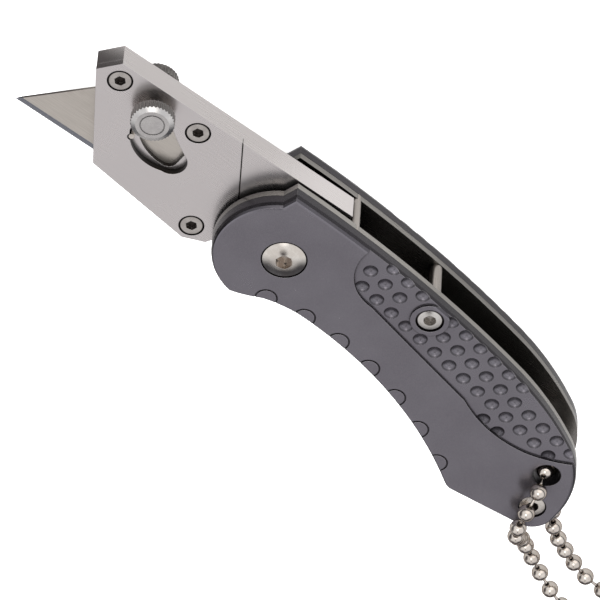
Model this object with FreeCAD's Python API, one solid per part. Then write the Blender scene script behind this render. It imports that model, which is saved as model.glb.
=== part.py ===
import FreeCAD, Part
import math
import os

# Folding utility knife, opened. Millimetres.
# The drawing below has the pivot axis at X = Y = 0. +X runs along the handle to its tail, +Y is
# the spine side, +Z comes out of the front face, and the flat of the rear scale lies at Z = 0.
# The pieces are written with the origin moved to CENTRE, the middle of the knife's outline.

V = FreeCAD.Vector
os.makedirs("parts", exist_ok=True)

# ---- driving dimensions -------------------------------------------------------------------
SCALE_T = 3.3            # die-cast handle scale
LINER_T = 1.5            # steel liner under each scale
GAP = 8.4                # space between the liners
HOLDER_T = 6.0           # blade holder
COVER_T = 1.6            # holder cover plate
BLADE_T = 0.6
SLOT_PLAY = 0.05         # each side of the blade and of the lever arms
CROWN_H = 1.25           # height over which the scales' edge rounds over
CROWN_IN = 0.8           # how far the rounding runs in, at the tail
CROWN_SHIFT = (0.1, -0.5)  # it runs further in at the spine and the nose than at the belly
RUN_FIT = 0.05           # radial running clearance on the pivots
DOME = 1.0               # crown of the pivot screw over the scale

Z_LINER_R = SCALE_T
Z_GAP = SCALE_T + LINER_T
Z_LINER_F = Z_GAP + GAP
Z_SCALE_F = Z_LINER_F + LINER_T
TOTAL_T = Z_SCALE_F + SCALE_T
Z_MID = TOTAL_T / 2
Z_HOLD0 = Z_MID - HOLDER_T / 2
Z_HOLD1 = Z_MID + HOLDER_T / 2
Z_COVER = Z_HOLD1 - COVER_T
Z_WALL = Z_HOLD0 + COVER_T

CENTRE = (12.9, -5.8)    # middle of the open knife's bounding box, in the pivot's frame

SPINE_Y = 14.8           # spine of the holder
TANG_X = 6.1             # rear end of the holder, which lands on the stop pin
PIVOT_R = 3.0
WASHER_R = 5.0
STOP_PIN = (7.7, 13.2)
STOP_PIN_R = 1.3
SPACER = (32.3, 10.6)
SPACER_R = 1.35
GRIP_SCREW = (33.8, 7.5)
TAIL_SCREW = (85.1, -18.6)
TAIL_POST_R = 2.6
LANYARD = (81.3, -9.4)
LANYARD_R = 3.1

HOLDER_SCREWS = ((-53.2, 10.8), (-32.4, 10.7), (-17.6, -9.9))
LEVER_PIVOT = HOLDER_SCREWS[1]
KNOB = (-43.0, 9.2)
KNOB_R = 4.65
KNOB_H = 2.8
STUD_R = 1.3
POST_R = 1.6             # post of the holder body that the release lever turns on
LEVER_TRAVEL = 46.0      # degrees, until the catch is clear of the blade's notch
WINDOW_SWEEP = 85.0      # degrees that the windows and the cavity leave open to the knob's arm
CATCH_ARM = 4.0
CATCH_ANGLE = -50.0      # degrees, from the lever pivot, at rest
CATCH_R = 0.8
WINDOW_PIN = (-42.1, 0.65)
WINDOW_PIN_R = 0.65
WINDOW_PIN_ROOT = Z_MID + 0.5

BLADE_TIP = (-65.3, -9.4)
BLADE_L = 61.0
BLADE_W = 18.95
BLADE_BACK_IN = 15.0     # how far each slanted end runs in along the back
NOTCH_X = (-40.2, -29.4)
NOTCH_W = 3.8
NOTCH_D = 3.4

FRONT_ARC_C = (-1.2, -0.2)
FRONT_ARC_R = 14.4


# ---- helpers ------------------------------------------------------------------------------
def polar(centre, radius, degrees):
    a = math.radians(degrees)
    return (centre[0] + radius * math.cos(a), centre[1] + radius * math.sin(a))


def cyl(xy, radius, z0, z1):
    return Part.makeCylinder(radius, z1 - z0, V(xy[0], xy[1], z0))


def cone(xy, r0, r1, z0, z1):
    return Part.makeCone(r0, r1, z1 - z0, V(xy[0], xy[1], z0))


def wire(path, z=0.0):
    """Closed wire: each entry is a point, or ('arc', middle point) before the arc's end point."""
    edges = []
    pts = list(path) + [path[0]]
    here = V(pts[0][0], pts[0][1], z)
    middle = None
    for p in pts[1:]:
        if p[0] == "arc":
            middle = V(p[1][0], p[1][1], z)
            continue
        there = V(p[0], p[1], z)
        if middle is not None:
            edges.append(Part.Arc(here, middle, there).toShape())
        elif (there - here).Length > 1e-6:
            edges.append(Part.LineSegment(here, there).toShape())
        middle = None
        here = there
    return Part.Wire(edges)


def slab(path, z0, z1):
    return Part.Face(wire(path, z0)).extrude(V(0, 0, z1 - z0))


def flip(shape):
    """Front piece to rear piece: mirrored in the middle plane of the handle."""
    return shape.mirror(V(0, 0, Z_MID), V(0, 0, 1))


def strip(a, b, width, z0, z1):
    """Bar with round ends from point a to point b."""
    ang = math.atan2(b[1] - a[1], b[0] - a[0])
    dx, dy = -math.sin(ang) * width / 2, math.cos(ang) * width / 2
    body = slab([(a[0] + dx, a[1] + dy), (b[0] + dx, b[1] + dy), (b[0] - dx, b[1] - dy),
                 (a[0] - dx, a[1] - dy)], z0, z1)
    return body.fuse([cyl(a, width / 2, z0, z1), cyl(b, width / 2, z0, z1)]).removeSplitter()


def hexagon(xy, across, z0, z1):
    pts = [polar(xy, across / math.sqrt(3), 60 * i + 15) for i in range(6)]
    return slab(pts, z0, z1)


def socket_screw(xy, head_r, shank_r, top, head_h, bottom, hex_across, dome=0.0):
    """Countersunk screw with a hex socket, its head up; a dome makes it a crowned flat head."""
    shank = cyl(xy, shank_r, bottom, top - head_h + 0.01)
    if dome:
        ball_r = (head_r * head_r + dome * dome) / (2 * dome)
        ball = Part.makeSphere(ball_r, V(xy[0], xy[1], top + dome - ball_r))
        head = cyl(xy, head_r, top - head_h, top + dome).common(ball)
    else:
        head = cone(xy, shank_r + 0.2, head_r, top - head_h, top - 0.3).fuse(
            cyl(xy, head_r, top - 0.3, top))
    screw = head.fuse(shank).removeSplitter()
    return screw.cut(hexagon(xy, hex_across, top - 0.75 * head_h, top + dome + 1))


def save(name, shape):
    """Move the piece from the pivot's frame to the part's frame and write it."""
    shape = shape.copy()
    shape.translate(V(-CENTRE[0], -CENTRE[1], 0))
    shape.exportStep("parts/%s.step" % name)
    solids = shape.Solids
    print("%-20s solids %2d  volume %9.2f  valid %s" % (
        name, len(solids), shape.Volume, shape.isValid()))


# ---- handle outline -----------------------------------------------------------------------
CORNER = (-8.8, 15.0)
NOSE_TOP = polar(FRONT_ARC_C, FRONT_ARC_R, 126)
NOSE_MID = polar(FRONT_ARC_C, FRONT_ARC_R, 195)
NOSE_LOW = polar(FRONT_ARC_C, FRONT_ARC_R, 262)
BELLY_IN = (3.4, -11.5)
BELLY_CREST = (14.5, -9.9)
BELLY_MID = (41.5, -14.5)
HEEL = (66.2, -26.0)
HEEL_ROUND = (67.3, -26.5)
HEEL_OUT = (68.6, -26.6)
TAIL_LOW = (85.2, -24.6)
TAIL_ROUND = (89.9, -22.4)
TAIL_BACK = (91.0, -17.6)
TAIL_TOP = (88.6, -8.8)
SPINE_REAR = (79.4, -0.1)
SPINE_DROP = (70.4, 3.95)
SPINE_KNEE = (60.1, 7.15)
SPINE_MID = (28.0, 12.65)

HANDLE = [CORNER, NOSE_TOP, ("arc", NOSE_MID), NOSE_LOW, ("arc", (0.6, -13.0)), BELLY_IN,
          ("arc", (8.5, -10.2)), BELLY_CREST, ("arc", BELLY_MID), HEEL, ("arc", HEEL_ROUND), HEEL_OUT,
          TAIL_LOW, ("arc", TAIL_ROUND), TAIL_BACK, ("arc", TAIL_TOP), SPINE_REAR,
          ("arc", SPINE_DROP), SPINE_KNEE, ("arc", SPINE_MID)]

# Recessed grip panel of a scale, and its dimples in close rows.
PANEL_DEPTH = 0.5
PANEL = [(11.6, 17.0), (11.9, 13.4), ("arc", (12.6, 8.6)), (22.0, 2.2), ("arc", (36.0, -0.9)),
         (54.0, -4.8), ("arc", (65.0, -8.0)), (73.5, -7.6), ("arc", (79.8, -5.4)), (83.4, -3.4),
         (90.0, 4.0), (60.0, 17.0)]
DIMPLE_R = 1.62
DIMPLE_DEPTH = 0.62
DIMPLE_FIRST = (19.1, 13.15)
DIMPLE_STEP = (4.68, -0.785)
DIMPLE_ROW = (1.37, -4.46)
GRIP_BOSS_R = 4.2

# Half-moon lines engraved along the belly.
MOON_R = 2.5
MOON_LINE = 0.35
MOON_DEPTH = 0.3
MOONS = ((3.9, -10.8), (13.4, -9.6), (23.1, -10.0), (32.8, -11.5), (42.3, -14.2), (51.9, -17.9),
         (61.2, -22.6))


def dimple_centres():
    """Dimples in close rows over the panel: whole ones, and those that its border cuts short."""
    face = Part.Face(wire(PANEL))
    border = face.OuterWire
    handle_face = Part.Face(wire(HANDLE))
    outline = handle_face.OuterWire
    whole, cut_short = [], []
    for row in range(-1, 7):
        for col in range(-4, 16):
            x = DIMPLE_FIRST[0] + col * DIMPLE_STEP[0] + row * DIMPLE_ROW[0]
            y = DIMPLE_FIRST[1] + col * DIMPLE_STEP[1] + row * DIMPLE_ROW[1]
            spot = V(x, y, 0)
            if not face.isInside(spot, 1e-3, True):
                continue
            edge = border.distToShape(Part.Vertex(spot))[0]
            boss = math.hypot(x - GRIP_SCREW[0], y - GRIP_SCREW[1]) - GRIP_BOSS_R
            rim = outline.distToShape(Part.Vertex(spot))[0]
            if boss < 0.3 * DIMPLE_R or edge < 0.25 * DIMPLE_R or rim < 0.15 * DIMPLE_R:
                continue
            if not handle_face.isInside(spot, 1e-3, True):
                continue
            if min(edge, boss) > DIMPLE_R + 0.15:
                whole.append((x, y))
            else:
                cut_short.append((x, y))
    return whole, cut_short


def plate(z0, z1):
    """Liner or scale blank with its fixing holes and the lanyard hole."""
    blank = slab(HANDLE, z0, z1)
    holes = [cyl((0, 0), PIVOT_R + 0.02, z0 - 1, z1 + 1),
             cyl(LANYARD, LANYARD_R, z0 - 1, z1 + 1)]
    return blank.cut(holes)


def front_liner():
    body = plate(Z_LINER_F, Z_SCALE_F)
    cuts = [cyl(STOP_PIN, STOP_PIN_R, Z_LINER_F - 1, Z_SCALE_F + 1),
            cyl(SPACER, SPACER_R, Z_LINER_F - 1, Z_SCALE_F + 1),
            cyl(GRIP_SCREW, 1.25, Z_LINER_F - 1, Z_SCALE_F + 1),
            cyl(TAIL_SCREW, 1.3, Z_LINER_F - 1, Z_SCALE_F + 1)]
    return body.cut(cuts)


# The lock bar is cut free from the rear liner along the belly and stays tied at its root.
LOCK_TIP = (4.4, -7.0)
LOCK_ROOT = (48.0, -9.0)
LOCK_W = 4.2
LOCK_GAP = 0.45
LOCK_BALL_R = 0.9
LOCK_RELIEF = 1.3


def lock_bar():
    bar = slab([(LOCK_TIP[0] - 1.6, LOCK_TIP[1] + LOCK_W / 2), (26.0, -4.4), (LOCK_ROOT[0], -6.6),
                (LOCK_ROOT[0], -11.4), (26.0, -8.4), (LOCK_TIP[0] - 1.6, LOCK_TIP[1] - LOCK_W / 2)],
               Z_LINER_R, Z_GAP)
    ball_seat = Part.makeSphere(LOCK_BALL_R, V(LOCK_TIP[0], LOCK_TIP[1], Z_GAP))
    return bar.cut(ball_seat)


def lock_window(z0, z1, gap):
    return slab([(LOCK_TIP[0] - 1.6 - gap, LOCK_TIP[1] + LOCK_W / 2 + gap), (26.0, -4.4 + gap),
                 (LOCK_ROOT[0] + gap, -6.6 + gap), (LOCK_ROOT[0] + gap, -11.4 - gap),
                 (26.0, -8.4 - gap), (LOCK_TIP[0] - 1.6 - gap, LOCK_TIP[1] - LOCK_W / 2 - gap)],
                z0, z1)


CROWN_STEPS = (40, 68, 90)   # degrees round the quarter arc that the edge follows


def crowned_blank():
    """Scale blank: straight wall, then an edge that rounds over to the flat of the face."""
    shoulder = TOTAL_T - CROWN_H
    sections = [wire(HANDLE, shoulder)]
    for step in CROWN_STEPS:
        inset = 1 - math.cos(math.radians(step))
        z = shoulder + CROWN_H * math.sin(math.radians(step))
        ring = Part.Face(wire(HANDLE, z)).makeOffset2D(-CROWN_IN * inset, join=2).OuterWire
        ring.translate(V(CROWN_SHIFT[0] * inset, CROWN_SHIFT[1] * inset, 0))
        sections.append(ring)
    crown = Part.makeLoft(sections, True, True)
    return slab(HANDLE, Z_SCALE_F, shoulder).fuse(crown).removeSplitter()


def front_scale():
    floor = TOTAL_T - PANEL_DEPTH
    body = crowned_blank()
    panel = slab(PANEL, floor, TOTAL_T + 1).cut(cyl(GRIP_SCREW, GRIP_BOSS_R, floor - 1, TOTAL_T + 2))
    body = body.cut(panel)
    ball_r = (DIMPLE_R ** 2 + DIMPLE_DEPTH ** 2) / (2 * DIMPLE_DEPTH)
    whole, cut_short = dimple_centres()
    room = slab(PANEL, floor - 1, floor + 1).cut(cyl(GRIP_SCREW, GRIP_BOSS_R, floor - 2, floor + 2))
    balls = [Part.makeSphere(ball_r, V(x, y, floor - DIMPLE_DEPTH + ball_r)) for x, y in whole]
    balls += [Part.makeSphere(ball_r, V(x, y, floor - DIMPLE_DEPTH + ball_r)).common(room)
              for x, y in cut_short]
    body = body.cut(balls)
    moons = [cyl(m, MOON_R, TOTAL_T - MOON_DEPTH, TOTAL_T + 1).cut(
        cyl(m, MOON_R - MOON_LINE, TOTAL_T - 1, TOTAL_T + 2)) for m in MOONS]
    body = body.cut(moons)
    body = body.cut([cyl((0, 0), PIVOT_R + 0.02, 0, TOTAL_T + 1),
                     cyl((0, 0), 4.95, TOTAL_T - 1.4, TOTAL_T + 1),
                     cyl(LANYARD, LANYARD_R, 0, TOTAL_T + 1)])
    for spot, shank in ((GRIP_SCREW, 1.5), (TAIL_SCREW, 1.5)):
        body = body.cut([cyl(spot, shank, 0, TOTAL_T + 1),
                         cyl(spot, 3.05, TOTAL_T - 1.65, TOTAL_T + 1)])
    return body


def rear_scale():
    body = flip(front_scale())
    return body.cut(lock_window(Z_LINER_R - LOCK_RELIEF, Z_LINER_R + 1, LOCK_GAP))


def rear_liner():
    body = flip(front_liner())
    return body.cut(lock_window(Z_LINER_R - 1, Z_GAP + 1, LOCK_GAP))


def pivot_barrel():
    """Threaded sleeve: its flange sinks into the rear scale and its bore takes the pivot screw."""
    sleeve = cyl((0, 0), PIVOT_R, 0.9, TOTAL_T - 1.45)
    flange = cyl((0, 0), 4.8, 0.3, 1.35)
    sleeve = sleeve.fuse(flange).removeSplitter()
    sleeve = sleeve.cut([cyl((0, 0), 1.65, 2.6, TOTAL_T), hexagon((0, 0), 3.0, 0, 1.6)])
    return sleeve


def pivot_screw():
    return socket_screw((0, 0), 4.65, 1.6, TOTAL_T - 0.1, 1.25, 4.0, 3.3, DOME)


def washer(z0):
    ring = cyl((0, 0), WASHER_R, z0, z0 + 1.15)
    return ring.cut(cyl((0, 0), PIVOT_R, z0 - 1, z0 + 3))


def tail_post():
    post = cyl(TAIL_SCREW, TAIL_POST_R, Z_GAP, Z_LINER_F)
    return post.cut(cyl(TAIL_SCREW, 1.25, Z_GAP - 1, Z_LINER_F + 1))


def spine_pin(spot, radius):
    return cyl(spot, radius, Z_LINER_R, Z_SCALE_F)


def tail_screw():
    return socket_screw(TAIL_SCREW, 2.8, 1.2, TOTAL_T - 0.35, 1.25, Z_MID + 0.5, 2.5, 0.3)


def grip_screw():
    return socket_screw(GRIP_SCREW, 2.8, 1.2, TOTAL_T - 0.35, 1.25, Z_LINER_F, 2.5, 0.3)


def build_handle():
    save("front_scale", front_scale())
    save("rear_scale", rear_scale())
    save("front_liner", front_liner())
    save("rear_liner", rear_liner())
    save("lock_bar", lock_bar())
    ball = Part.makeSphere(LOCK_BALL_R, V(LOCK_TIP[0], LOCK_TIP[1], Z_GAP))
    save("detent_ball", ball)
    save("pivot_barrel", pivot_barrel())
    save("pivot_screw", pivot_screw())
    save("rear_pivot_washer", washer(Z_GAP))
    save("front_pivot_washer", washer(Z_LINER_F - 1.15))
    save("stop_pin", spine_pin(STOP_PIN, STOP_PIN_R))
    save("spine_spacer", spine_pin(SPACER, SPACER_R))
    save("tail_post", tail_post())
    save("front_tail_screw", tail_screw())
    save("rear_tail_screw", flip(tail_screw()))
    save("front_grip_screw", grip_screw())
    save("rear_grip_screw", flip(grip_screw()))


build_handle()


# ---- blade holder -------------------------------------------------------------------------
HOLDER = [(-58.9, 10.0), (-55.6, SPINE_Y), (TANG_X, SPINE_Y), (TANG_X, 9.0), ("arc", (9.6, -5.1)),
          (-3.7, -10.2), (-11.9, -10.1), (-12.5, -11.5), (-17.2, -13.7), (-43.8, -10.3)]
COVER_AREA = [(-70.0, 20.0), (-27.35, 20.0), (-1.7, -15.55), (-70.0, -20.0)]
SEAM = 0.12              # joint line between the cover plate and the tang
WINDOW = [(-43.6, 2.0), ("arc", (-37.4, -2.7)), (-31.7, -2.4), ("arc", (-28.3, 0.6)),
          (-30.4, 4.0), ("arc", (-35.8, 7.2)), (-40.6, 11.0), ("arc", (-43.8, 11.2)), (-45.2, 8.4)]


def blade_outline():
    x0, y0 = BLADE_TIP
    x1, y1 = x0 + BLADE_L, y0 + BLADE_W
    pts = [(x0, y0), (x1, y0), (x1 - BLADE_BACK_IN, y1)]
    for nx in sorted(NOTCH_X, reverse=True):
        h = NOTCH_W / 2
        pts += [(nx + h, y1), (nx + h, y1 - NOTCH_D + 0.8), (nx + h - 0.8, y1 - NOTCH_D),
                (nx - h + 0.8, y1 - NOTCH_D), (nx - h, y1 - NOTCH_D + 0.8), (nx - h, y1)]
    return pts + [(x0 + BLADE_BACK_IN, y1)]


def utility_blade():
    """Trapezoid blade with two notches in its back and a ground cutting edge."""
    blank = slab(blade_outline(), Z_MID - BLADE_T / 2, Z_MID + BLADE_T / 2)
    x0, y0 = BLADE_TIP
    grind = 1.3
    for side in (1, -1):
        face_z = Z_MID + side * BLADE_T / 2
        edge_z = Z_MID + side * 0.04
        tri = Part.makePolygon([V(x0 - 5, y0 + grind, face_z), V(x0 - 5, y0 - 1, face_z),
                                V(x0 - 5, y0 - 1, edge_z), V(x0 - 5, y0, edge_z),
                                V(x0 - 5, y0 + grind, face_z)])
        blank = blank.cut(Part.Face(tri).extrude(V(BLADE_L + 10, 0, 0)))
    return blank


def blade_slot():
    x0, y0 = BLADE_TIP
    x1, y1 = x0 + BLADE_L, y0 + BLADE_W
    path = [(x0, y0), (x1, y0), (x1 - BLADE_BACK_IN, y1), (x0 + BLADE_BACK_IN, y1)]
    z0 = Z_MID - BLADE_T / 2 - SLOT_PLAY
    face = Part.Face(wire(path, z0)).makeOffset2D(0.08, join=2)
    return Part.Face(face.OuterWire).extrude(V(0, 0, BLADE_T + 2 * SLOT_PLAY))


KNOB_ARM = math.hypot(KNOB[0] - LEVER_PIVOT[0], KNOB[1] - LEVER_PIVOT[1])
KNOB_ANGLE = math.degrees(math.atan2(KNOB[1] - LEVER_PIVOT[1], KNOB[0] - LEVER_PIVOT[0])) % 360
ARM_W = 3.4
HUB_R = 2.7


def swing_room(arm, half_width, a0, travel, z0, z1):
    """Space swept by an arm with a round end that swings about the lever pivot."""
    reach = arm + half_width
    a1 = a0 + travel
    fan = slab([LEVER_PIVOT, polar(LEVER_PIVOT, reach, a0),
                ("arc", polar(LEVER_PIVOT, reach, a0 + travel / 2)),
                polar(LEVER_PIVOT, reach, a1)], z0, z1)
    ends = [strip(LEVER_PIVOT, polar(LEVER_PIVOT, arm, a), 2 * half_width, z0, z1) for a in (a0, a1)]
    return fan.fuse(ends)


def lever_cavity():
    """Room for the release lever's arms and catch over their whole swing."""
    z0, z1 = Z_WALL, Z_COVER + 0.001
    hub = cyl(LEVER_PIVOT, HUB_R + 0.3, z0, z1)
    return hub.fuse([swing_room(KNOB_ARM, ARM_W / 2 + 0.3, KNOB_ANGLE, WINDOW_SWEEP, z0, z1),
                     swing_room(CATCH_ARM, CATCH_R + 0.3, CATCH_ANGLE, LEVER_TRAVEL, z0, z1)])


def holder_blank(z0, z1):
    return slab(HOLDER, z0, z1).cut(cyl((0, 0), PIVOT_R + RUN_FIT, z0 - 1, z1 + 1))


def holder_body():
    body = holder_blank(Z_HOLD0, Z_HOLD1).cut(slab(COVER_AREA, Z_COVER, Z_HOLD1 + 1))
    body = body.cut(lever_cavity())
    body = body.fuse(cyl(LEVER_PIVOT, POST_R, Z_WALL - 0.1, Z_COVER))
    body = body.cut([blade_slot(), slab(WINDOW, Z_HOLD0 - 1, Z_WALL + 0.01), spring_pocket()])
    for spot, depth in zip(HOLDER_SCREWS, SCREW_DEPTHS):
        body = body.cut(cyl(spot, 1.0, depth, Z_HOLD1))
    body = body.cut(cyl(WINDOW_PIN, WINDOW_PIN_R, WINDOW_PIN_ROOT, Z_HOLD1))
    return body.removeSplitter()


SCREW_DEPTHS = (Z_HOLD0 + 1.0, Z_WALL + 0.3, Z_MID + BLADE_T / 2 + SLOT_PLAY + 0.08)


def holder_cover_plate():
    area = [(p[0] - SEAM * 1.2, p[1]) if p[0] > -30 else p for p in COVER_AREA]
    plate_body = slab(HOLDER, Z_COVER, Z_HOLD1).common(slab(area, Z_COVER, Z_HOLD1))
    plate_body = plate_body.cut(slab(WINDOW, Z_COVER - 1, Z_HOLD1 + 1))
    for spot in HOLDER_SCREWS:
        plate_body = plate_body.cut([cyl(spot, 1.05, Z_COVER - 1, Z_HOLD1 + 1),
                                     cyl(spot, 2.75, Z_HOLD1 - 1.25, Z_HOLD1 + 1)])
    return plate_body.cut(cyl(WINDOW_PIN, WINDOW_PIN_R + 0.28, Z_COVER - 1, Z_HOLD1 + 1))


def holder_screws():
    screws = []
    for spot, depth in zip(HOLDER_SCREWS, SCREW_DEPTHS):
        screws.append(socket_screw(spot, 2.5, 0.98, Z_HOLD1 - 0.1, 1.15, depth, 2.2, 0.12))
    return Part.makeCompound(screws)


SPRING_IN = 1.75
SPRING_WIRE = 0.55


def spring_pocket():
    z0 = Z_WALL - 1.2
    ring = cyl(LEVER_PIVOT, SPRING_IN + SPRING_WIRE * 2 + 0.15, z0, Z_WALL + 0.1)
    leg = strip(LEVER_PIVOT, polar(LEVER_PIVOT, 5.4, -12), 0.9, z0, Z_WALL + 0.1)
    return ring.fuse(leg).cut(cyl(LEVER_PIVOT, POST_R, z0 - 1, Z_WALL + 1))


def lever_spring():
    """Torsion spring under the lever's hub: two close coils with one straight leg."""
    radius = SPRING_IN + SPRING_WIRE / 2
    z = Z_WALL - 1.2 + SPRING_WIRE / 2 + 0.02
    coils = [Part.makeTorus(radius, SPRING_WIRE / 2, V(LEVER_PIVOT[0], LEVER_PIVOT[1], z + i * 0.5))
             for i in range(2)]
    a = math.radians(-12)
    leg = Part.makeCylinder(SPRING_WIRE / 2, 3.1, V(LEVER_PIVOT[0] + radius * math.cos(a),
                                                   LEVER_PIVOT[1] + radius * math.sin(a), z),
                            V(math.cos(a), math.sin(a), 0))
    return coils[0].fuse([coils[1], leg])


def release_lever():
    """Yoke that straddles the blade: an arm on each side and the catch that joins them."""
    arms = []
    tip = polar(LEVER_PIVOT, KNOB_ARM, KNOB_ANGLE)
    catch = polar(LEVER_PIVOT, CATCH_ARM, CATCH_ANGLE)
    for z0, z1 in ((Z_WALL + SLOT_PLAY, Z_MID - BLADE_T / 2 - 2 * SLOT_PLAY),
                   (Z_MID + BLADE_T / 2 + 2 * SLOT_PLAY, Z_COVER - SLOT_PLAY)):
        arm = strip(LEVER_PIVOT, tip, ARM_W, z0, z1)
        arm = arm.fuse([cyl(LEVER_PIVOT, HUB_R, z0, z1), strip(LEVER_PIVOT, catch, 2 * CATCH_R, z0, z1)])
        arms.append(arm)
    lever = arms[0].fuse([arms[1], cyl(catch, CATCH_R, Z_WALL + SLOT_PLAY, Z_COVER - SLOT_PLAY)])
    lever = lever.cut([cyl(LEVER_PIVOT, POST_R + RUN_FIT, Z_HOLD0, Z_HOLD1),
                       cyl(tip, STUD_R * 0.7, Z_HOLD0, Z_HOLD1)])
    return lever.removeSplitter()


KNOB_GAP = 1.9
KNOB_Z = Z_HOLD1 + KNOB_GAP
FLUTES = 36


def front_stud():
    base = Z_MID + BLADE_T / 2 + 2 * SLOT_PLAY
    return cyl(KNOB, STUD_R * 0.7, base, Z_COVER - SLOT_PLAY + 0.01).fuse(
        cyl(KNOB, STUD_R, Z_COVER - SLOT_PLAY, KNOB_Z + 2.0)).removeSplitter()


def front_knob():
    """Thumb knob with a knurled rim, a bevelled crown and a shallow round dish."""
    rim_top = KNOB_Z + KNOB_H - 0.6
    body = cyl(KNOB, KNOB_R, KNOB_Z, rim_top).fuse(
        cone(KNOB, KNOB_R, KNOB_R - 1.1, rim_top, KNOB_Z + KNOB_H))
    body = body.cut([cyl(polar(KNOB, KNOB_R + 0.08, 360.0 * i / FLUTES), 0.28, KNOB_Z - 1, rim_top + 0.2)
                     for i in range(FLUTES)])
    dish = cyl(KNOB, 2.65, KNOB_Z + KNOB_H - 0.15, KNOB_Z + KNOB_H + 1).cut(
        cyl(KNOB, 2.4, KNOB_Z, KNOB_Z + KNOB_H + 2))
    body = body.cut([dish, cyl(KNOB, STUD_R, KNOB_Z - 1, KNOB_Z + 2.0)])
    return body


def build_holder():
    save("holder_body", holder_body())
    save("holder_cover_plate", holder_cover_plate())
    save("holder_screws", holder_screws())
    save("window_pin", cyl(WINDOW_PIN, WINDOW_PIN_R, WINDOW_PIN_ROOT, Z_HOLD1 - 0.15))
    save("utility_blade", utility_blade())
    save("release_lever", release_lever())
    save("lever_spring", lever_spring())
    save("front_knob", front_knob())
    save("rear_knob", flip(front_knob()))
    save("front_knob_stud", front_stud())
    save("rear_knob_stud", flip(front_stud()))


build_holder()


# ---- ball chain -----------------------------------------------------------------------------
CHAIN_D = 3.8
CHAIN_FLOOR = 1.8        # centre height where the chain lies on the ground
# Hand-chosen route: up through the front lanyard hole, over the tail, round a loop on the
# ground and back between the liners.
CHAIN_ROUTE = [
    (81.3, -9.4, 10.2), (81.3, -9.5, 15.0), (80.9, -12.2, 22.4), (82.1, -20.0, 23.2),
    (85.2, -26.2, 20.6), (89.6, -30.6, 15.4), (94.0, -34.6, 9.6), (99.4, -38.6, 4.6),
    (106.2, -42.6, 2.1), (114.6, -46.8, 2.0), (124.2, -50.2, 2.0), (133.8, -53.9, 2.1),
    (143.4, -55.0, 2.4), (151.3, -50.3, 2.7), (152.9, -40.2, 2.7), (147.6, -31.9, 2.4),
    (138.4, -30.6, 2.1), (130.4, -36.4, 2.0), (122.2, -39.3, 2.0), (114.6, -37.4, 2.2),
    (106.4, -33.0, 4.4), (98.8, -27.8, 8.0), (92.7, -21.1, 9.2), (88.6, -13.4, 9.2)]
CLASP_RUN = 13           # the straight run that carries the chain connector


def bend_radius(a, b, c):
    """Arc radius at point b, and how far it reaches along each run."""
    u, w = (b - a), (c - b)
    shorter = min(u.Length, w.Length)
    turn = math.acos(max(-1.0, min(1.0, (u.normalize()).dot(w.normalize()))))
    reach = 0.45 * shorter
    return reach / math.tan(turn / 2), reach, math.degrees(turn)


def chain_path():
    pts = [V(*p) for p in CHAIN_ROUTE]
    edges = []
    here = pts[0]
    radii = []
    for a, b, c in zip(pts, pts[1:], pts[2:]):
        radius, reach, turn = bend_radius(V(a), V(b), V(c))
        radii.append(radius)
        into = b - (V(b) - a).normalize() * reach
        out = b + (V(c) - b).normalize() * reach
        bisector = ((into + out) * 0.5 - b)
        depth = radius / math.cos(math.radians(turn) / 2) - radius
        middle = b + bisector.normalize() * depth
        edges.append(Part.LineSegment(here, into).toShape())
        edges.append(Part.Arc(into, middle, out).toShape())
        here = out
    edges.append(Part.LineSegment(here, pts[-1]).toShape())
    print("chain radii", [round(r, 1) for r in radii])
    return Part.Wire(edges)


def ball_chain():
    path = chain_path()
    start, second = V(*CHAIN_ROUTE[0]), V(*CHAIN_ROUTE[1])
    section = Part.Wire(Part.makeCircle(CHAIN_D / 2, start, second - start))
    tube = path.makePipeShell([section], True, False)
    ideal = path.Length * math.pi * (CHAIN_D / 2) ** 2
    print("chain length %.1f  volume %.1f  ideal %.1f" % (path.Length, tube.Volume, ideal))
    return tube


def chain_connector():
    """Open-sided sleeve that snaps over the two end beads and closes the loop."""
    a, b = V(*CHAIN_ROUTE[CLASP_RUN]), V(*CHAIN_ROUTE[CLASP_RUN + 1])
    along = (b - a).normalize()
    length = 5.2
    base = (V(*CHAIN_ROUTE[CLASP_RUN]) + b) * 0.5 - along * (length / 2)
    sleeve = Part.makeCylinder(CHAIN_D / 2 + 0.7, length, base, along)
    bore = Part.makeCylinder(CHAIN_D / 2 + 0.25, length + 2, base - along, along)
    slit = Part.makeBox(1.6, length + 2, 4, V(-0.8, -1, 0))
    slit.rotate(V(0, 0, 0), V(0, 0, 1), math.degrees(math.atan2(along.y, along.x)) - 90)
    slit.translate(base)
    return sleeve.cut([bore, slit])


def build_chain():
    save("ball_chain", ball_chain())
    save("chain_connector", chain_connector())


build_chain()
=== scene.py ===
import math

import bmesh
import bpy
from mathutils import Matrix, Vector


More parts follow.
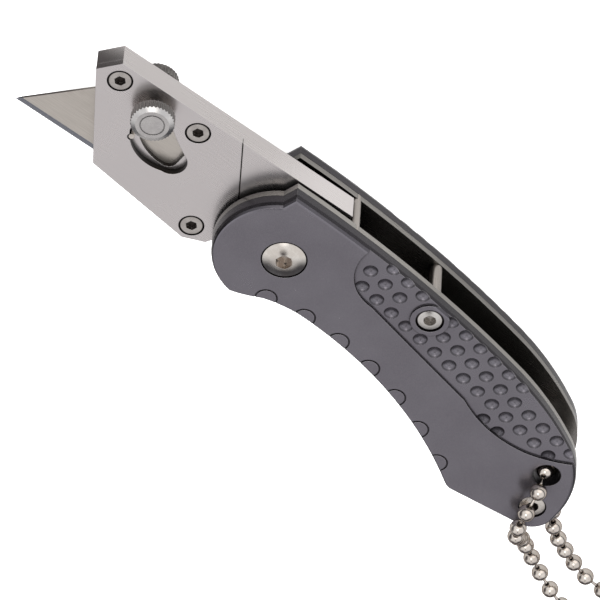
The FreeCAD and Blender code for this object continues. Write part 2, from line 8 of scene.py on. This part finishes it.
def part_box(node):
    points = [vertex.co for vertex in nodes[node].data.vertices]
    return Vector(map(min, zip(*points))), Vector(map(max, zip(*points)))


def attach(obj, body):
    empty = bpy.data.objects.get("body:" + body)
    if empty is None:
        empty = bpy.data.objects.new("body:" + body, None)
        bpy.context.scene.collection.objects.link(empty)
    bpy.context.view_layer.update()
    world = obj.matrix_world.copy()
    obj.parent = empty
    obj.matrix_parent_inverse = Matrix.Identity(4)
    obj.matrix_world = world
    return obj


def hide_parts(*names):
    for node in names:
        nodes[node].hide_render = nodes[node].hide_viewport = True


# Folding utility knife, opened, with a ball chain in its lanyard hole. Metres, the part's frame.
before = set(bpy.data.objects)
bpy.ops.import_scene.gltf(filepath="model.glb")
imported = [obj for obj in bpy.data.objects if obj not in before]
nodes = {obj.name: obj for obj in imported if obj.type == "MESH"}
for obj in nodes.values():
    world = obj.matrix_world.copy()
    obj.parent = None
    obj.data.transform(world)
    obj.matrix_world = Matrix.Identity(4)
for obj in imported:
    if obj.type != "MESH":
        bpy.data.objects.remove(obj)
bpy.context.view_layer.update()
MM = 0.001
DRAWN_FROM = Vector((12.9, -5.8, 0.0))      # the part's origin, in the pivot's drawing frame, mm


def at(x, y, z=0.0):
    """A point of the pivot's drawing frame, in mm, as a point of the part's frame in metres."""
    return (Vector((x, y, z)) - DRAWN_FROM) * MM


# ---- camera ------------------------------------------------------------------------------------
CAMERA_AT = Vector((-0.50492, 0.68719, 0.98912))
CAMERA_RIGHT = Vector((0.7707, 0.6351, -0.0517))
CAMERA_UP = Vector((-0.5051, 0.5595, -0.6571))
SENSOR_MM = 36.0
LENS_MM = 366.6


def add_camera():
    data = bpy.data.cameras.new("camera")
    data.sensor_width = SENSOR_MM
    data.lens = LENS_MM
    data.clip_start = 0.01
    camera = bpy.data.objects.new("camera", data)
    bpy.context.scene.collection.objects.link(camera)
    right = CAMERA_RIGHT.normalized()
    back = right.cross(CAMERA_UP).normalized()
    up = back.cross(right)
    turn = Matrix((right, up, back)).transposed().to_4x4()
    camera.matrix_world = Matrix.Translation(CAMERA_AT) @ turn
    bpy.context.scene.camera = camera


add_camera()
bpy.context.scene.view_settings.view_transform = "Standard"


# ---- shader helpers ------------------------------------------------------------------------------
class NodeTree:
    """A node tree built with short calls; a socket argument may be a value or a link."""

    def __init__(self, tree):
        self.tree = tree

    def add(self, kind, props=None, **sockets):
        made = self.tree.nodes.new(kind)
        for key, value in (props or {}).items():
            setattr(made, key, value)
        for key, value in sockets.items():
            self.plug(made.inputs[int(key[1:]) if key[0] == "i" and key[1:].isdigit()
                                  else key.replace("_", " ")], value)
        return made

    def plug(self, socket, value):
        if isinstance(value, bpy.types.NodeSocket):
            self.tree.links.new(value, socket)
        else:
            socket.default_value = value

    def ramp(self, value, low, high, out_low=0.0, out_high=1.0):
        made = self.add("ShaderNodeMapRange", Value=value)
        made.interpolation_type = "SMOOTHSTEP"
        for key, number in (("From Min", low), ("From Max", high), ("To Min", out_low),
                            ("To Max", out_high)):
            made.inputs[key].default_value = number
        return made.outputs["Result"]

    def mix(self, factor, a, b):
        made = self.add("ShaderNodeMix", {"data_type": "RGBA"})
        self.plug(made.inputs["Factor"], factor)
        for socket, value in ((made.inputs[6], a), (made.inputs[7], b)):
            self.plug(socket, value if isinstance(value, bpy.types.NodeSocket)
                      else (*value[:3], 1.0))
        return made.outputs[2]


class Shader(NodeTree):
    """A material, with the patterns that the knife's surfaces share."""

    def __init__(self, name):
        self.material = bpy.data.materials.new(name)
        self.material.use_nodes = True
        super().__init__(self.material.node_tree)
        self.bsdf = self.tree.nodes["Principled BSDF"]

    def math(self, operation, a, b=0.0):
        return self.add("ShaderNodeMath", {"operation": operation}, i0=a, i1=b).outputs[0]

    def coords(self, scale=(1, 1, 1), turn=0.0):
        where = self.add("ShaderNodeTexCoord").outputs["Object"]
        mapped = self.add("ShaderNodeMapping", Vector=where)
        mapped.inputs["Rotation"].default_value = (0, 0, turn)
        mapped.inputs["Scale"].default_value = scale
        return mapped.outputs[0]

    def split(self):
        where = self.add("ShaderNodeTexCoord").outputs["Object"]
        parts = self.add("ShaderNodeSeparateXYZ", Vector=where).outputs
        return parts[0], parts[1], parts[2]

    def noise(self, scale, coords=None, detail=3.0, rough=0.55):
        made = self.add("ShaderNodeTexNoise", Scale=scale, Detail=detail, Roughness=rough)
        self.plug(made.inputs["Vector"], coords if coords is not None else self.coords())
        return made.outputs["Fac"]

    def near(self, centres, radius, soft):
        """1 inside radius of any of the upright axes through the centres, falling to 0."""
        where = self.add("ShaderNodeTexCoord").outputs["Object"]
        flat = self.add("ShaderNodeVectorMath", {"operation": "MULTIPLY"}, i0=where,
                        i1=(1.0, 1.0, 0.0)).outputs[0]
        nearest = None
        for centre in centres:
            gap = self.add("ShaderNodeVectorMath", {"operation": "DISTANCE"}, i0=flat,
                           i1=(centre[0], centre[1], 0.0)).outputs["Value"]
            nearest = gap if nearest is None else self.math("MINIMUM", nearest, gap)
        return self.ramp(nearest, radius, radius + soft, 1.0, 0.0), nearest

    def rounded(self, radius):
        return self.add("ShaderNodeBevel", {"samples": 6}, Radius=radius).outputs[0]

    def edges(self, radius):
        """1 along the piece's corners, from how far the rounded normal turns from the true one."""
        true = self.add("ShaderNodeNewGeometry").outputs["True Normal"]
        dot = self.add("ShaderNodeVectorMath", {"operation": "DOT_PRODUCT"},
                       i0=self.rounded(radius), i1=true).outputs["Value"]
        return self.ramp(dot, 0.65, 0.99, 1.0, 0.0)

    def wall(self, flat=(0.35, 0.75)):
        """1 on the faces that stand upright at rest, such as the trimmed sides of a plate."""
        normal = self.add("ShaderNodeNewGeometry").outputs["True Normal"]
        upright = self.add("ShaderNodeSeparateXYZ", Vector=normal).outputs[2]
        return self.ramp(self.math("ABSOLUTE", upright), flat[0], flat[1], 1.0, 0.0)

    def crevice(self, reach):
        return self.add("ShaderNodeAmbientOcclusion", {"samples": 6, "inside": False},
                        Distance=reach).outputs["AO"]

    def bump(self, height, depth, normal, strength):
        return self.add("ShaderNodeBump", Height=height, Distance=depth, Strength=strength,
                        Normal=normal).outputs[0]

    def finish(self, color, roughness, normal=None, metallic=1.0, **extra):
        self.plug(self.bsdf.inputs["Base Color"],
                  color if isinstance(color, bpy.types.NodeSocket) else (*color[:3], 1.0))
        self.plug(self.bsdf.inputs["Roughness"], roughness)
        self.plug(self.bsdf.inputs["Metallic"], metallic)
        if normal is not None:
            self.plug(self.bsdf.inputs["Normal"], normal)
        for key, value in extra.items():
            self.plug(self.bsdf.inputs[key.replace("_", " ")], value)
        return self.material


# ---- materials ---------------------------------------------------------------------------------
JOINT_LINE_AND_CORNER_SHADE = (0.012, 0.011, 0.013)        # joints between the casting's layers, and painted shade in tight corners
PAINTED_HOLLOW_SHADE = (0.012, 0.010, 0.009)          # painted shade on the walls inside the holder's window and countersinks
# dark seam lines, and painted shade in crevices and hex sockets
SEAM_AND_PAINTED_SHADE = (0.035, 0.030, 0.028)
TURNING = 60000.0                            # radians per metre of the fine rings on screw heads


def cast_gunmetal():
    """Satin gunmetal on a zinc casting: fine grain, soft mottling, lighter corners (partly rubbed
    wear, partly painted highlight), painted shade on upright sides, in hollows and in tight
    corners.
    """
    s = Shader("cast_gunmetal")
    mottle = s.noise(60.0, detail=5.0)
    grain = s.noise(5200.0, detail=2.0)
    base = s.mix(s.ramp(mottle, 0.3, 0.7), (0.172, 0.162, 0.186), (0.203, 0.193, 0.219))
    base = s.mix(s.ramp(grain, 0.35, 0.75, 0.0, 0.30), base, (0.27, 0.26, 0.27))
    # painted shade: upright sides darkened
    base = s.mix(s.wall((0.72, 0.985)), base, (0.050, 0.047, 0.053))
    # lighter corners: partly rubbed wear, partly painted highlight
    base = s.mix(s.math("MULTIPLY", s.edges(0.00020), 0.55), base, (0.60, 0.58, 0.57))
    height = s.split()[2]
    for joint in SCALE_JOINTS:
        away = s.math("ABSOLUTE", s.math("SUBTRACT", height, joint))
        base = s.mix(s.ramp(away, 0.00008, 0.00032, 1.0, 0.0), base, JOINT_LINE_AND_CORNER_SHADE)
    # painted shade: faces within 4.5 mm of other surfaces, as by the holder and floor, darkened
    base = s.mix(s.ramp(s.crevice(0.0045), 0.45, 0.90), (0.045, 0.042, 0.048), base)
    # painted shade: tight corners and dimple rims darkened from short-reach occlusion
    base = s.mix(s.ramp(s.crevice(0.0009), 0.30, 0.80), JOINT_LINE_AND_CORNER_SHADE, base)
    rough = s.math("ADD", s.ramp(mottle, 0.25, 0.75, 0.20, 0.26),
                   s.math("MULTIPLY", grain, 0.04))
    normal = s.bump(grain, 0.000008, s.rounded(0.0002), 0.5)
    return s.finish(base, rough, normal, 0.9)


def brushed_steel(name, low, high, along, rough, corner=0.00012, turn=0.0, hollow_reach=0.0009,
                  dark=SEAM_AND_PAINTED_SHADE, clear=0.90, hollows=(), seam=None):
    """Sheet steel brushed one way: long fine scratches, soft clouding, painted highlight on
    corners, painted shade in crevices and the given hollows.
    """
    s = Shader(name)
    stretch = [9000.0, 9000.0, 9000.0]
    stretch[along] = 130.0
    scratch = s.noise(1.0, s.coords(stretch, turn), detail=4.0, rough=0.65)
    cloud = s.noise(55.0, detail=3.0)
    base = s.mix(s.ramp(scratch, 0.2, 0.8), low, high)
    base = s.mix(s.ramp(cloud, 0.35, 0.75, 0.0, 0.25), base, low)
    # painted highlight: corners lightened
    base = s.mix(s.math("MULTIPLY", s.edges(corner), 0.35), base, (0.80, 0.79, 0.77))
    # painted shade: crevices darkened by ambient occlusion
    base = s.mix(s.ramp(s.crevice(hollow_reach), 0.30, clear), dark, base)
    # painted shade: upright walls below the face, near the given centres, painted near-black
    for centres, radius, face in hollows:
        painted_hollow_mask = s.math("MULTIPLY", s.wall((0.80, 0.95)),
                      s.ramp(s.split()[2], face - 0.00012, face - 0.00004, 1.0, 0.0))
        base = s.mix(s.math("MULTIPLY", s.near(centres, radius, 0.00008)[0], painted_hollow_mask), base,
                     PAINTED_HOLLOW_SHADE)
    if seam:
        a, b = seam
        across = Vector((b.y - a.y, a.x - b.x, 0.0)).normalized()
        off = s.add("ShaderNodeVectorMath", {"operation": "DOT_PRODUCT"}, i1=across,
                    i0=s.add("ShaderNodeTexCoord").outputs["Object"]).outputs["Value"]
        off = s.math("ABSOLUTE", s.math("SUBTRACT", off, across.dot(a)))
        line = s.math("MULTIPLY", s.ramp(off, 0.00009, 0.00020, 1.0, 0.0),
                      s.math("SUBTRACT", 1.0, s.wall()))
        base = s.mix(line, base, dark)
    roughness = s.math("ADD", s.ramp(scratch, 0.3, 0.7, rough - 0.01, rough + 0.02),
                       s.ramp(cloud, 0.3, 0.7, -0.02, 0.03))
    normal = s.bump(scratch, 0.000002, s.rounded(corner), 0.15)
    return s.finish(base, roughness, normal, 1.0)


def ground_blade(edge_y, grind):
    """Carbon steel blade: warm grey faces, cooler bevel ground across, bright cutting edge."""
    s = Shader("ground_blade")
    y = s.split()[1]
    lengthways = s.noise(1.0, s.coords((220.0, 9000.0, 9000.0)), detail=4.0, rough=0.6)
    across = s.noise(1.0, s.coords((16000.0, 400.0, 400.0)), detail=3.0, rough=0.6)
    stain = s.noise(140.0, detail=4.0)
    body = s.mix(s.ramp(lengthways, 0.3, 0.7), (0.60, 0.56, 0.51), (0.70, 0.655, 0.60))
    body = s.mix(s.ramp(stain, 0.5, 0.85, 0.0, 0.45), body, (0.46, 0.40, 0.35))
    bevel = s.mix(s.ramp(across, 0.3, 0.7), (0.46, 0.48, 0.53), (0.62, 0.64, 0.70))
    ground = s.ramp(y, edge_y + grind - 0.0001, edge_y + grind + 0.00004, 1.0, 0.0)
    base = s.mix(ground, body, bevel)
    base = s.mix(s.ramp(y, edge_y + 0.00012, edge_y + 0.00022, 1.0, 0.0), base,
                 (0.88, 0.90, 0.93))
    height = s.add("ShaderNodeMix", {"data_type": "FLOAT"}, i0=ground, i2=lengthways, i3=across)
    rough = s.ramp(ground, 0.0, 1.0, 0.36, 0.24)
    normal = s.bump(height.outputs[0], 0.000006, s.rounded(0.00006), 0.6)
    return s.finish(base, rough, normal, 1.0)


def plated(name, low, high, rough, sockets=(), socket_r=0.0, corner=0.00010,
           socket_shade_color=SEAM_AND_PAINTED_SHADE, hollow_reach=0.0006, rim=(1.0, 1.0, 1.0),
           head_r=0.0, wall_shade_color=None):
    """Polished nickel plate: faint haze, warm tone, painted highlight on corners, and painted shade
    in crevices, on upright sides and round heads where asked, and in each screw's hex socket.
    """
    s = Shader(name)
    haze = s.noise(420.0, detail=4.0)
    speck = s.noise(7000.0, detail=2.0)
    base = s.mix(s.ramp(haze, 0.3, 0.7), low, high)
    # painted highlight: corners lightened
    base = s.mix(s.math("MULTIPLY", s.edges(corner), 0.25), base, (0.93, 0.91, 0.88))
    # painted shade: crevices darkened by ambient occlusion
    base = s.mix(s.ramp(s.crevice(hollow_reach), 0.35, 0.95), (0.04, 0.034, 0.032), base)
    height = speck
    # painted shade: upright sides darkened
    if wall_shade_color:
        base = s.mix(s.wall(), base, wall_shade_color)
    # painted shade: the head's rim beyond head_r painted near-black, as the gap round it
    if head_r:
        base = s.mix(s.near(sockets, head_r, 0.00012)[0], (0.03, 0.026, 0.025), base)
    # painted shade inside each hex socket; the turned rings are bump only
    if sockets:
        inside, gap = s.near(sockets, socket_r, 0.00012)
        base = s.mix(inside, base, socket_shade_color)
        turned = s.math("SINE", s.math("MULTIPLY", gap, TURNING))
        height = s.math("ADD", s.math("MULTIPLY", turned, 0.5), speck)
    s.bsdf.inputs["Specular Tint"].default_value = (*rim, 1.0)
    roughness = s.ramp(haze, 0.3, 0.7, rough - 0.03, rough + 0.06)
    normal = s.bump(height, 0.000003, s.rounded(corner), 0.5)
    return s.finish(base, roughness, normal, 1.0)


def bronze():
    s = Shader("plain_bronze")
    cloud = s.noise(300.0, detail=4.0)
    rub = s.noise(1.0, s.coords((3000.0, 3000.0, 9000.0)), detail=3.0)
    base = s.mix(s.ramp(cloud, 0.3, 0.7), (0.42, 0.29, 0.15), (0.62, 0.45, 0.25))
    return s.finish(base, s.ramp(rub, 0.3, 0.7, 0.3, 0.42), s.bump(rub, 0.000004,
                    s.rounded(0.0001), 0.5), 1.0)


SCALE_JOINTS = (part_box("rear_scale")[1].z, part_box("front_scale")[0].z)
BLADE_EDGE_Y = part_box("utility_blade")[0].y
BLADE_GRIND = 0.0013
PIVOT = at(0.0, 0.0)
GRIP_SCREW = at(33.8, 7.5)
TAIL_SCREW = at(85.1, -18.6)
HOLDER_SCREWS = [at(-53.2, 10.8), at(-32.4, 10.7), at(-17.6, -9.9)]
WINDOW_PIN = at(-42.1, 0.65)
WINDOW_MIDDLE = at(-36.3, 4.2)
HOLDER_FACE_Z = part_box("holder_cover_plate")[1].z
HOLDER_SEAM = (at(-27.42, 20.0), at(-1.77, -15.55))

gunmetal = cast_gunmetal()
# painted shade in the countersinks of the screws and window pin, and inside the window, through the
# hollows argument
holder_steel = brushed_steel("holder_steel", (0.695, 0.660, 0.655), (0.735, 0.700, 0.695), 0, 0.27,
                             hollows=((HOLDER_SCREWS + [WINDOW_PIN], 0.00290, HOLDER_FACE_Z),
                                      ([WINDOW_MIDDLE], 0.0093, HOLDER_FACE_Z)),
                             seam=HOLDER_SEAM)
# painted shade: a 10 mm occlusion reach paints the liners' faces across the handle's gap near-black
liner_steel = brushed_steel("liner_steel", (0.29, 0.275, 0.26), (0.40, 0.385, 0.365), 0, 0.24,
                            turn=0.23, hollow_reach=0.010, dark=(0.006, 0.005, 0.005),
                            clear=0.98)
pin_steel = brushed_steel("pin_steel", (0.34, 0.31, 0.29), (0.48, 0.45, 0.42), 2, 0.26,
                          hollow_reach=0.004)
lever_steel = brushed_steel("lever_steel", (0.30, 0.28, 0.26), (0.44, 0.41, 0.38), 0, 0.33)
blade_steel = ground_blade(BLADE_EDGE_Y, BLADE_GRIND)
# painted shade: the rear knob is a darker copy of the front knob's plated steel
shaded_rear_knob_steel = plated("shaded_rear_knob_steel", (0.13, 0.12, 0.12), (0.26, 0.25, 0.24), 0.22,
                         corner=0.00016, hollow_reach=0.0007)
# painted shade on the upright sides of the front knob and the studs
knob_steel = plated("knob_steel", (0.54, 0.525, 0.52), (0.66, 0.645, 0.63), 0.24, corner=0.00010,
                    hollow_reach=0.0009, wall_shade_color=(0.20, 0.19, 0.185))
holder_screw_steel = plated("holder_screw_steel", (0.46, 0.43, 0.41), (0.62, 0.59, 0.56), 0.2,
                            HOLDER_SCREWS, 0.00105, head_r=0.00225)
pivot_nickel = plated("pivot_nickel", (0.62, 0.57, 0.52), (0.76, 0.72, 0.67), 0.12, [PIVOT],
                      0.0017, socket_shade_color=(0.40, 0.35, 0.31))
grip_nickel = plated("grip_nickel", (0.66, 0.64, 0.61), (0.80, 0.78, 0.75), 0.14, [GRIP_SCREW],
                     0.0013, socket_shade_color=(0.30, 0.28, 0.26), head_r=0.0025)
tail_nickel = plated("tail_nickel", (0.62, 0.57, 0.52), (0.76, 0.72, 0.67), 0.14, [TAIL_SCREW],
                     0.0013)
chain_nickel = plated("chain_nickel", (0.58, 0.52, 0.47), (0.74, 0.68, 0.62), 0.13,
                      corner=0.00008, rim=(0.22, 0.19, 0.18))
spring_steel = plated("spring_steel", (0.22, 0.20, 0.19), (0.34, 0.32, 0.30), 0.22)

NODE_MATERIALS = {
    gunmetal: ("front_scale", "rear_scale"),
    liner_steel: ("front_liner", "rear_liner", "lock_bar"),
    pin_steel: ("stop_pin", "spine_spacer", "tail_post"),
    bronze(): ("front_pivot_washer", "rear_pivot_washer"),
    holder_steel: ("holder_body", "holder_cover_plate"),
    holder_screw_steel: ("holder_screws",),
    blade_steel: ("utility_blade",),
    lever_steel: ("release_lever",),
    spring_steel: ("lever_spring",),
    knob_steel: ("front_knob", "front_knob_stud", "rear_knob_stud"),
    shaded_rear_knob_steel: ("rear_knob",),
    pivot_nickel: ("pivot_screw", "pivot_barrel", "detent_ball", "window_pin"),
    grip_nickel: ("front_grip_screw", "rear_grip_screw"),
    tail_nickel: ("front_tail_screw", "rear_tail_screw"),
    chain_nickel: ("chain_connector",),
}
for material, names in NODE_MATERIALS.items():
    for name in names:
        for slot in nodes[name].material_slots:
            slot.material = material


# ---- ball chain --------------------------------------------------------------------------------
CHAIN_D = 3.8 * MM
CHAIN_ROUTE = [at(*p) for p in (
    (81.3, -9.4, 10.2), (81.3, -9.5, 15.0), (81.3, -12.2, 22.4), (82.9, -19.8, 23.2),
    (86.5, -25.8, 20.6), (90.4, -29.7, 15.0), (94.2, -33.4, 9.0), (99.4, -38.0, 4.2),
    (106.2, -42.6, 2.1), (114.6, -46.8, 2.0), (124.2, -50.2, 2.0), (133.8, -53.9, 2.1),
    (143.4, -55.0, 2.4), (151.3, -50.3, 2.7), (152.9, -40.2, 2.7), (147.6, -31.9, 2.4),
    (138.4, -30.6, 2.1), (130.4, -36.4, 2.0), (122.2, -39.3, 2.0), (114.6, -37.4, 2.2),
    (106.4, -33.0, 4.4), (98.8, -27.8, 8.0), (92.7, -21.1, 9.2), (88.6, -13.4, 9.2))]
BEAD_PITCH = 5.6 * MM
BEAD_SEGMENTS = 24
BEAD_STEPS = 14                              # along a bead's arc, from hole to hole
LIP_R = 0.62 * MM                            # a bead's end hole, whose lip turns inward
LIP_INSET = 0.12 * MM
LIP_DIP = 0.22 * MM
LINK_R = 0.36 * MM
LINK_SEGMENTS = 10
LINK_GRIP = 0.35 * MM                        # how far a link's end reaches into its bead


def route_line(points):
    """Points along the smooth spline whose control points are the route's."""
    data = bpy.data.curves.new("chain_line", "CURVE")
    data.dimensions = "3D"
    spline = data.splines.new("NURBS")
    spline.points.add(len(points) - 1)
    for spot, p in zip(spline.points, points):
        spot.co = (*p, 1.0)
    spline.order_u = 3
    spline.use_endpoint_u = True
    data.resolution_u = 24
    holder = bpy.data.objects.new("chain_line", data)
    bpy.context.scene.collection.objects.link(holder)
    bpy.context.view_layer.update()
    mesh = bpy.data.meshes.new_from_object(holder)
    line = [v.co.copy() for v in mesh.vertices]
    bpy.data.meshes.remove(mesh)
    bpy.data.objects.remove(holder)
    bpy.data.curves.remove(data)
    return line


def stations(line, pitch):
    """Evenly spaced places on a line, a whole number of steps near the pitch."""
    reach = [0.0]
    for a, b in zip(line, line[1:]):
        reach.append(reach[-1] + (b - a).length)
    count = round(reach[-1] / pitch)
    found = []
    k = 0
    for i in range(count + 1):
        want = reach[-1] * i / count
        while k < len(line) - 2 and reach[k + 1] < want:
            k += 1
        part = (want - reach[k]) / max(reach[k + 1] - reach[k], 1e-9)
        found.append(line[k].lerp(line[k + 1], part))
    return found


def smooth_object(bm, name, material):
    mesh = bpy.data.meshes.new(name)
    bm.normal_update()
    bm.to_mesh(mesh)
    bm.free()
    for polygon in mesh.polygons:
        polygon.use_smooth = True
    mesh.materials.append(material)
    made = bpy.data.objects.new(name, mesh)
    bpy.context.scene.collection.objects.link(made)
    return made


def add_turned(bm, profile, segments, place):
    """Surface of revolution about local Z from (radius, height) pairs, closed at both ends."""
    rings = []
    for radius, height in profile:
        rings.append([bm.verts.new(place @ Vector((radius * math.cos(t), radius * math.sin(t),
                                                   height)))
                      for t in (2 * math.pi * i / segments for i in range(segments))])
    for low, high in zip(rings, rings[1:]):
        for i in range(segments):
            j = (i + 1) % segments
            bm.faces.new((low[i], low[j], high[j], high[i]))
    bm.faces.new(list(reversed(rings[0])))
    bm.faces.new(rings[-1])


def pointing(place, direction):
    turn = Vector((0, 0, 1)).rotation_difference(direction.normalized())
    return Matrix.Translation(place) @ turn.to_matrix().to_4x4()


def bead_profile():
    """Pressed bead: a ball with an inward lip round the hole at each end."""
    radius = CHAIN_D / 2
    start = math.asin(LIP_R / radius)
    arc = [(radius * math.sin(t), -radius * math.cos(t))
           for t in (start + (math.pi - 2 * start) * i / BEAD_STEPS
                     for i in range(BEAD_STEPS + 1))]
    first = (LIP_R - LIP_INSET, arc[0][1] + LIP_DIP)
    last = (LIP_R - LIP_INSET, arc[-1][1] - LIP_DIP)
    return [first] + arc + [last]


def make_chain():
    line = route_line(CHAIN_ROUTE)
    spots = stations(line, BEAD_PITCH)
    bm = bmesh.new()
    profile = bead_profile()
    for i, spot in enumerate(spots):
        before, after = spots[max(i - 1, 0)], spots[min(i + 1, len(spots) - 1)]
        add_turned(bm, profile, BEAD_SEGMENTS, pointing(spot, after - before))
    for a, b in zip(spots, spots[1:]):
        gap = b - a
        step = gap.length
        grip = CHAIN_D / 2 - LINK_GRIP
        waist = [(LINK_R, grip), (LINK_R * 0.92, step * 0.42), (LINK_R * 0.9, step * 0.5),
                 (LINK_R * 0.92, step * 0.58), (LINK_R, step - grip)]
        add_turned(bm, waist, LINK_SEGMENTS, pointing(a, gap))
    chain = smooth_object(bm, "bead_chain", chain_nickel)
    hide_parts("ball_chain")
    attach(chain, "handle")


make_chain()


# ---- floor and light ---------------------------------------------------------------------------
STAGE_SIZE = 3.0
FLOOR_Z = -0.0002
CARD_Z = -0.0001


def add_sheet(name, material, z):
    bm = bmesh.new()
    bmesh.ops.create_grid(bm, x_segments=1, y_segments=1, size=STAGE_SIZE)
    sheet = smooth_object(bm, name, material)
    sheet.location = (0, 0, z)
    return sheet


def add_floor():
    s = Shader("pale_floor")
    grain = s.noise(300.0, detail=2.0)
    color = s.mix(s.ramp(grain, 0.3, 0.7), (0.93, 0.93, 0.93), (0.95, 0.95, 0.95))
    material = s.finish(color, 0.85, None, 0.0, Emission_Color=(1.0, 1.0, 1.0, 1.0),
                        Emission_Strength=0.72)
    floor = add_sheet("floor", material, FLOOR_Z)


def add_reflection_card():
    """What the sides of the knife mirror: a card on the floor that only reflections see."""
    s = Shader("reflection_card")
    # painted shade: the card is near-black past the holder's tip, so the tip's end faces mirror a
    # shaded floor
    tip_shade_strip = s.ramp(s.split()[0], -0.0775, -0.0715)
    glow, _ = s.near([at(14.0, 24.0)], 0.010, 0.020)
    level = s.mix(glow, (0.74, 0.73, 0.72), (0.95, 0.94, 0.93))
    level = s.mix(tip_shade_strip, (0.07, 0.065, 0.065), level)
    emission = s.add("ShaderNodeEmission", Color=level)
    output = s.tree.nodes["Material Output"]
    s.tree.links.new(emission.outputs[0], output.inputs["Surface"])
    card = add_sheet("reflection_card", s.material, CARD_Z)
    for ray in ("camera", "diffuse", "transmission", "volume_scatter", "shadow"):
        setattr(card, "visible_" + ray, False)


def add_light(name, place, size, power):
    """A square lamp, aimed at the origin."""
    data = bpy.data.lights.new(name, "AREA")
    data.shape = "SQUARE"
    data.size = size
    data.energy = power
    light = bpy.data.objects.new(name, data)
    light.visible_glossy = False             # the sky's patches are what the metal mirrors
    bpy.context.scene.collection.objects.link(light)
    aim = (-Vector(place)).to_track_quat("-Z", "Y")
    light.matrix_world = Matrix.Translation(Vector(place)) @ aim.to_matrix().to_4x4()


def add_world():
    """Studio sky: a plain level, with soft patches of other levels round some directions."""
    world = bpy.data.worlds.new("studio")
    bpy.context.scene.world = world
    world.use_nodes = True
    sky = NodeTree(world.node_tree)
    background = sky.tree.nodes["Background"]
    where = sky.add("ShaderNodeTexCoord").outputs["Generated"]
    level = SKY_LEVEL
    for direction, inner, outer, value in SKY_PATCHES:
        dot = sky.add("ShaderNodeVectorMath", {"operation": "DOT_PRODUCT"}, i0=where,
                      i1=Vector(direction).normalized()).outputs["Value"]
        patch = sky.ramp(dot, math.cos(math.radians(outer)), math.cos(math.radians(inner)))
        level = sky.mix(patch, level, value)
    height = sky.add("ShaderNodeSeparateXYZ", i0=where).outputs["Z"]
    level = sky.mix(sky.ramp(height, *HORIZON), HORIZON_LEVEL, level)
    is_seen = sky.add("ShaderNodeLightPath").outputs["Is Camera Ray"]
    sky.plug(background.inputs["Color"], sky.mix(is_seen, level, SKY_LEVEL))   # plain backdrop
    background.inputs["Strength"].default_value = 1.0


HORIZON = (0.06, 0.42)                       # sine of the elevation: where it ends, full sky
HORIZON_LEVEL = (0.10, 0.10, 0.11)
SKY_LEVEL = (0.95, 0.95, 0.96)
# direction, degrees of the full patch, degrees at which it has faded out, colour
SKY_PATCHES = (
    ((0.62, -0.78, 0.05), 30.0, 62.0, (0.07, 0.07, 0.08)),
    ((-0.75, -0.60, 0.10), 16.0, 40.0, (0.12, 0.11, 0.11)),
    ((0.39, -0.53, 0.75), 6.0, 26.0, (0.70, 0.685, 0.69)),
    ((-0.30, 0.95, 0.45), 18.0, 40.0, (1.5, 1.47, 1.44)),
    ((-0.25, 0.20, 0.95), 4.0, 17.0, (2.6, 2.55, 2.5)),
    ((0.146, -0.265, 0.95), 3.5, 9.0, (0.08, 0.07, 0.07)),
)


add_floor()
add_reflection_card()
add_world()
add_light("over", (-0.45, 0.10, 1.05), 0.55, 7.0)
add_light("spine", (-0.10, 0.95, 0.55), 0.5, 5.0)
